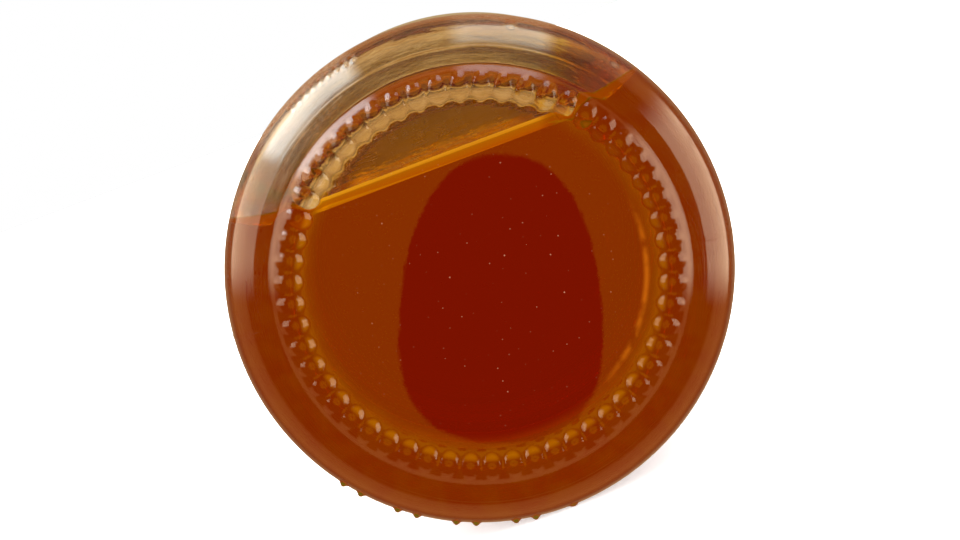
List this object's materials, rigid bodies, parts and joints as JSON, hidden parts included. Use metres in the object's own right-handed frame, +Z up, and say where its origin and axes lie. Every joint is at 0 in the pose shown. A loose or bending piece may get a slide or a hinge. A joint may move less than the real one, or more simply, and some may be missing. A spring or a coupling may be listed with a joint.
{
  "type": "honey jar",
  "caption": "Shut clear glass jar of dark honey lying on its side, with a ribbed base, rounded heel and shoulder, and a plain twist-off lid.",
  "frame": {"origin": "on the surface that the jar lies on, under the middle of its length and of its width", "axes": "+Y along the jar's axis from its base to its lid, +Z up as it lies, +X to the right as the base is looked at"},
  "size_m": [0.082, 0.102, 0.0818],
  "materials": {
    "clear_glass": "clear, glossy",
    "dark_honey": "clear amber brown, glossy",
    "gold_lacquer": "gold lacquer on tinplate, satin"
  },
  "bodies": {
    "root": {"jar_glass": "clear_glass", "honey": "dark_honey", "lid": "gold_lacquer"}
  },
  "joints": []
}
